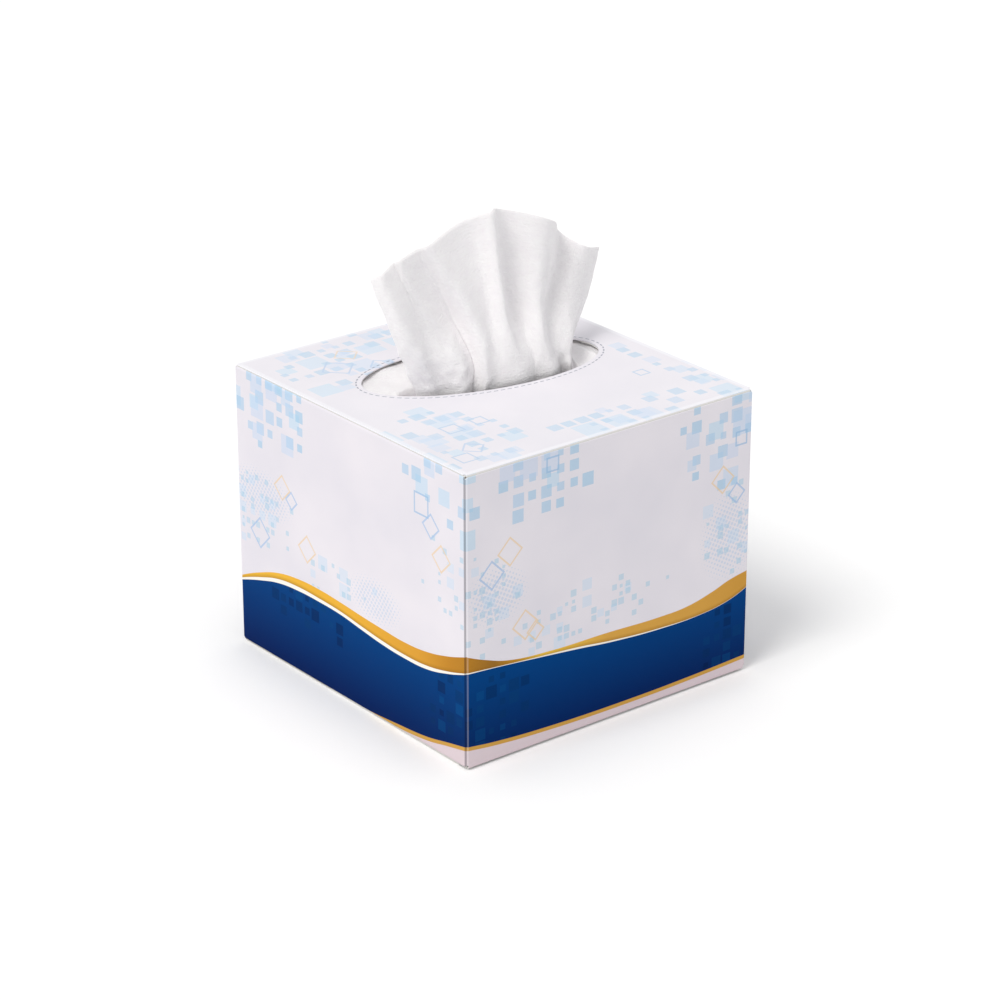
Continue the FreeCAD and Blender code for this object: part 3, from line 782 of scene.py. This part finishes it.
def ground_print(tree, place):
    """The pale ground: bluish white with strewn squares, diamond outlines and dots in a few regions."""
    cloud = noise(tree, place, 0.035, 2.0, 0.5, "2D")
    colour = blended(tree, cloud, "#D9D6DE", "#E8E3E8")
    colour = strewn(tree, place, colour, GROUND_SQUARES)
    for spots, width, code, strength in DIAMONDS:
        lines = diamond_outlines(tree, place, spots, width)
        colour = laid_over(tree, colour, linear(code), lines, strength)
    dots = halftone(tree, place, regions(tree, place, DOTTED_REGIONS))
    return laid_over(tree, colour, linear("#A9C2DE"), dots, 0.4)


def blue_band(tree, place, height):
    """Deep blue, lighter from 2 to 30 mm up, with faint darker blocks."""
    rise = add(tree, "MapRange", height, 2.0, 30.0, 0.0, 1.0)
    colour = blended(tree, rise, "#021E55", "#003E7C")
    return strewn(tree, place, colour, BLUE_SQUARES)


def gold_band(tree, along, height, foot):
    """Printed gold: bright where it turns to the light, brown in its shadows, darker at its foot."""
    share = add(tree, "Math", along, STRIP_LENGTH, operation="DIVIDE")
    shine = add(tree, "ValToRGB", share)
    ramp = shine.node.color_ramp
    for place, code in GOLD_STOPS[1:-1]:
        ramp.elements.new(place / STRIP_LENGTH).color = linear(code)
    ramp.elements[0].color = linear(GOLD_STOPS[0][1])
    ramp.elements[-1].color = linear(GOLD_STOPS[-1][1])
    over_foot = add(tree, "Math", height, foot, operation="SUBTRACT")
    shadow = add(tree, "MapRange", over_foot, 0.0, GOLD_SHADOW_HEIGHT, GOLD_SHADOW, 0.0)
    return add(tree, "MixRGB", shadow, shine, linear("#8F6220"))


def wall_print(tree, ground, place, along, height):
    """The printed bands on the walls, each laid over what is above it."""
    gold_top = print_line(tree, along, GOLD_TOP)
    gold_foot = print_line(tree, along, GOLD_FOOT)
    blue_top = print_line(tree, along, BLUE_TOP)
    lower = print_line(tree, along, LOWER_LINE)
    colour = laid_over(tree, ground, gold_band(tree, along, height, gold_foot), below(tree, height, gold_top))
    colour = laid_over(tree, colour, linear("#F3EFE6"), below(tree, height, gold_foot))
    colour = laid_over(tree, colour, blue_band(tree, place, height), below(tree, height, blue_top))
    colour = laid_over(tree, colour, linear("#C99A4A"), below(tree, height, lower, -FOOT_LINE_HALF))
    return laid_over(tree, colour, linear("#D9CACF"), below(tree, height, lower, FOOT_LINE_HALF))


def perforation(tree, x, y):
    """Short cuts in a ring outside the opening: dashes by the ellipse's arc length, which is a mean
    speed plus two harmonics of the angle."""
    across = OPENING_HALF_LENGTH + PERFORATION_OUT
    up = OPENING_HALF_WIDTH + PERFORATION_OUT
    angle = np.linspace(0, 2 * math.pi, 720, endpoint=False)
    speed = np.hypot(across * np.sin(angle), up * np.cos(angle))
    length = 2 * math.pi * speed.mean()
    scale = round(length / PERFORATION_PITCH) / length
    place = add(tree, "CombineXYZ", x, y, 0.0)
    place = add(tree, "Mapping", place, (*OPENING_CENTRE, 0), (0, 0, OPENING_TURN), (across, up, 1),
                vector_type="TEXTURE")
    sides = add(tree, "SeparateXYZ", place).node.outputs
    turn = add(tree, "Math", sides[1], sides[0], operation="ARCTAN2")
    way = add(tree, "Math", turn, scale * speed.mean(), operation="MULTIPLY")
    for harmonic in (2, 4):
        part = (speed * np.cos(harmonic * angle)).mean() * 2
        wave = add(tree, "Math", turn, harmonic, operation="MULTIPLY")
        wave = add(tree, "Math", wave, operation="SINE")
        way = add(tree, "Math", wave, scale * part / harmonic, way, operation="MULTIPLY_ADD")
    dash = add(tree, "Math", way, operation="FRACT")
    dash = add(tree, "Math", dash, CUT_SHARE, operation="LESS_THAN")
    radius = add(tree, "VectorMath", place, operation="LENGTH", out="Value")
    slope = add(tree, "VectorMath", place, (1 / across, 1 / up, 0), operation="MULTIPLY")
    slope = add(tree, "VectorMath", slope, operation="LENGTH", out="Value")
    away = add(tree, "Math", radius, 1.0, operation="SUBTRACT")
    away = add(tree, "Math", away, slope, operation="DIVIDE")
    away = add(tree, "Math", away, operation="ABSOLUTE")
    near = add(tree, "MapRange", away, CUT_OUTSIDE, CUT_INSIDE, 0.0, 1.0)
    return add(tree, "Math", near, dash, operation="MULTIPLY")


def coated_paperboard():
    """Clay-coated folding boxboard, offset printed: smooth and faintly glossy outside, with white scuffed
    folds round the top that are also a painted highlight, painted light on the top panel, a painted shade
    line and highlight down the front corner, painted shade in the perforation's cuts, and bare uncoated
    grey-white board inside."""
    material, tree, shader = new_material("coated_folding_boxboard")
    where = in_millimetres(tree, add(tree, "TexCoord", out="Object"))
    x, y, z = add(tree, "SeparateXYZ", where).node.outputs
    from_left = add(tree, "Math", x, BOX_WIDTH / 2, operation="ADD")
    from_back = add(tree, "Math", BOX_DEPTH / 2, y, operation="SUBTRACT")

    # Distances inside the outer faces, and from them the distance from the top panel's folds
    inside_x = add(tree, "Math", x, operation="ABSOLUTE")
    inside_x = add(tree, "Math", BOX_WIDTH / 2, inside_x, operation="SUBTRACT")
    inside_y = add(tree, "Math", y, operation="ABSOLUTE")
    inside_y = add(tree, "Math", BOX_DEPTH / 2, inside_y, operation="SUBTRACT")
    inside_z = add(tree, "Math", BOX_HEIGHT, z, operation="SUBTRACT")
    nearer = add(tree, "Math", inside_x, inside_y, operation="MINIMUM")
    skin = add(tree, "Math", nearer, inside_z, operation="MINIMUM")
    outer = add(tree, "Math", skin, PRINT_DEPTH, operation="LESS_THAN")
    top_edge = add(tree, "Math", nearer, inside_z, operation="MAXIMUM")

    # Place on the strip of walls, or on the top panel, which lies far along the same plane
    on_left = add(tree, "Math", from_left, BOX_DEPTH / BOX_WIDTH, from_back, operation="MULTIPLY_ADD")
    on_front = add(tree, "Math", from_back, BOX_WIDTH / BOX_DEPTH, from_left, operation="MULTIPLY_ADD")
    on_front = add(tree, "Math", on_front, BOX_DEPTH - BOX_WIDTH, operation="ADD")
    side = add(tree, "Math", y, BOX_WIDTH / BOX_DEPTH, operation="MULTIPLY")
    side = add(tree, "Math", side, x, operation="GREATER_THAN")
    along = add(tree, "Mix", side, None, on_front, on_left)
    on_top = add(tree, "Math", inside_z, TOP_DEPTH, operation="LESS_THAN")
    top_x = add(tree, "Math", x, TOP_START, operation="ADD")
    place_x = add(tree, "Mix", on_top, None, along, top_x)
    place_y = add(tree, "Mix", on_top, None, z, y)
    place = add(tree, "CombineXYZ", place_x, place_y, 0.0)

    ground = ground_print(tree, place)
    # The top panel's ground is painted lighter: painted light from above
    ground = laid_over(tree, ground, linear("#F6F6FA"), on_top, 0.3)
    colour = wall_print(tree, ground, place, along, z)
    cuts = perforation(tree, x, y)
    cuts = add(tree, "Math", cuts, on_top, operation="MULTIPLY")
    # The cuts are painted dark grey: painted shade inside the slits
    colour = laid_over(tree, colour, linear("#868C9B"), cuts, 0.75)

    # The front corner's fold: a painted shade line on the left wall's side and a painted highlight on the
    # front's
    on_wall = add(tree, "Math", nearer, PRINT_DEPTH, operation="LESS_THAN")
    for middle, half, code, strength in CORNER_SHADE_AND_HIGHLIGHT:
        line = add(tree, "Math", along, BOX_DEPTH + middle, half, operation="COMPARE")
        line = add(tree, "Math", line, on_wall, operation="MULTIPLY")
        colour = laid_over(tree, colour, linear(code), line, strength)

    # Along the top panel's folds the ink cracks white, unevenly, and the same white is a painted highlight on
    # the rounded folds
    cracks_and_highlight = noise(tree, where, 0.9, 3.0, 0.6)
    cracks_and_highlight = add(tree, "Math", cracks_and_highlight, CRACK_AND_HIGHLIGHT_SPREAD, top_edge, operation="MULTIPLY_ADD")
    cracked_and_highlit = add(tree, "MapRange", cracks_and_highlight, CRACK_AND_HIGHLIGHT_NONE, CRACK_AND_HIGHLIGHT_FULL, 0.0, 1.0)
    colour = laid_over(tree, colour, linear(CRACKED_AND_HIGHLIT_WHITE), cracked_and_highlit, 0.75)
    # A painted highlight makes the top panel's edge paler
    painted_edge_highlight = add(tree, "MapRange", top_edge, EDGE_HIGHLIGHT_NONE, EDGE_HIGHLIGHT_FULL, 0.0, 1.0)
    painted_edge_highlight = add(tree, "Math", painted_edge_highlight, on_top, operation="MULTIPLY")
    colour = laid_over(tree, colour, linear(CRACKED_AND_HIGHLIT_WHITE), painted_edge_highlight, 0.6)

    # Bare board inside, which is rougher, and a fine grain and the cuts as relief
    fibres = noise(tree, where, 2.2, 4.0, 0.6)
    bare = blended(tree, fibres, "#D3D1CD", "#E4E3E0")
    colour = add(tree, "MixRGB", outer, bare, colour)
    tree.links.new(colour, shader.inputs["Base Color"])
    gloss = add(tree, "MapRange", outer, 0.0, 1.0, 0.9, 0.5)
    tree.links.new(gloss, shader.inputs["Roughness"])
    grain = noise(tree, where, 1.4, 3.0, 0.55)
    relief = add(tree, "Math", cuts, CUT_RELIEF, grain, operation="MULTIPLY_ADD")
    bump = add(tree, "Bump", BOARD_STRENGTH, BOARD_RELIEF * MM, None, relief)
    tree.links.new(bump, shader.inputs["Normal"])
    shader.inputs["Specular IOR Level"].default_value = 0.02
    return material


def facial_tissue():
    """Two-ply facial tissue, creped: matt, soft and slightly see-through, with fine bars across the
    sheet from the creping blade and a cloudy spread of fibres."""
    material, tree, shader = new_material("creped_facial_tissue")
    flat = in_millimetres(tree, add(tree, "UVMap", uv_map="flat_sheet"))
    cloud = noise(tree, flat, 0.3, 5.0, 0.8, "2D")
    colour = blended(tree, cloud, "#F4EEF2", "#FFFEFD")
    tree.links.new(colour, shader.inputs["Base Color"])
    bars = add(tree, "Mapping", flat, None, None, (0.5, 1.7, 1.0), vector_type="POINT")
    bars = noise(tree, bars, 1.0, 2.0, 0.5, "2D")
    fibres = noise(tree, flat, 1.6, 3.0, 0.7, "2D")
    relief = add(tree, "Math", bars, fibres, operation="ADD")
    bump = add(tree, "Bump", CREPE_STRENGTH, CREPE_RELIEF * MM, None, relief)
    tree.links.new(bump, shader.inputs["Normal"])
    shader.inputs["Roughness"].default_value = 0.95
    shader.inputs["Specular IOR Level"].default_value = 0.2
    shader.inputs["Sheen Weight"].default_value = 0.15
    shader.inputs["Subsurface Weight"].default_value = 0.25
    shader.inputs["Subsurface Radius"].default_value = (1.0, 0.95, 0.95)
    shader.inputs["Subsurface Scale"].default_value = 1.5 * MM
    return material


def matt_floor():
    """A painted studio sweep: pale and matt, so that only a soft shadow shows."""
    material, _, shader = new_material("matt_white_sweep")
    shader.inputs["Base Color"].default_value = linear("#FDFDFD")
    shader.inputs["Roughness"].default_value = 0.9
    return material


# Stage

def make_camera():
    """The photograph's view, from 38.6 degrees to the left of the front and 23 above the table."""
    right = Vector((math.cos(VIEW_AZIMUTH), math.sin(VIEW_AZIMUTH), 0))
    back = Vector((math.sin(VIEW_AZIMUTH) * math.cos(VIEW_HEIGHT),
                   -math.cos(VIEW_AZIMUTH) * math.cos(VIEW_HEIGHT), math.sin(VIEW_HEIGHT)))
    up = back.cross(right)
    target = Vector(VIEW_TARGET) + right * VIEW_RIGHT + up * VIEW_UP
    data = bpy.data.cameras.new("camera")
    data.lens = LENS
    data.sensor_width = SENSOR_WIDTH
    camera = bpy.data.objects.new("camera", data)
    camera.matrix_world = Matrix.LocRotScale(
        target + back * VIEW_DISTANCE, Matrix((right, up, back)).transposed(), None)
    bpy.context.scene.collection.objects.link(camera)
    bpy.context.scene.camera = camera


def make_stage():
    """A wide pale floor under an even white surround, with one broad soft light high on the left."""
    mesh = bpy.data.meshes.new("floor")
    corners = [(x * FLOOR_REACH, y * FLOOR_REACH, 0) for x, y in ((-1, -1), (1, -1), (1, 1), (-1, 1))]
    mesh.from_pydata(corners, [], [(0, 1, 2, 3)])
    mesh.materials.append(matt_floor())
    floor = bpy.data.objects.new("floor", mesh)
    bpy.context.scene.collection.objects.link(floor)
    world = bpy.data.worlds.new("surround")
    world.use_nodes = True
    background = world.node_tree.nodes["Background"]
    background.inputs["Color"].default_value = SURROUND_COLOUR
    background.inputs["Strength"].default_value = SURROUND_STRENGTH
    bpy.context.scene.world = world
    data = bpy.data.lights.new("key", "SUN")
    data.energy = KEY_STRENGTH
    data.color = KEY_COLOUR
    data.angle = KEY_WIDTH
    light = bpy.data.objects.new("key", data)
    light.rotation_euler = Vector(KEY_DIRECTION).to_track_quat("-Z", "Y").to_euler()
    bpy.context.scene.collection.objects.link(light)
    bpy.context.scene.view_settings.view_transform = "Standard"


def main():
    """Makes the stage, dresses the carton and puts the fine sheets in place of their solids."""
    make_camera()
    make_stage()
    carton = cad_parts["carton"]
    carton.data.materials.clear()
    carton.data.materials.append(coated_paperboard())
    tissue = facial_tissue()
    stack = sheet_stack()
    raised = raised_sheet()
    following = next_sheet()
    for piece, node in ((stack, "tissue_stack"), (raised, "raised_tissue"), (following, "next_tissue")):
        piece.data.materials.append(tissue)
        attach(piece, "root")
        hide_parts(node)


main()
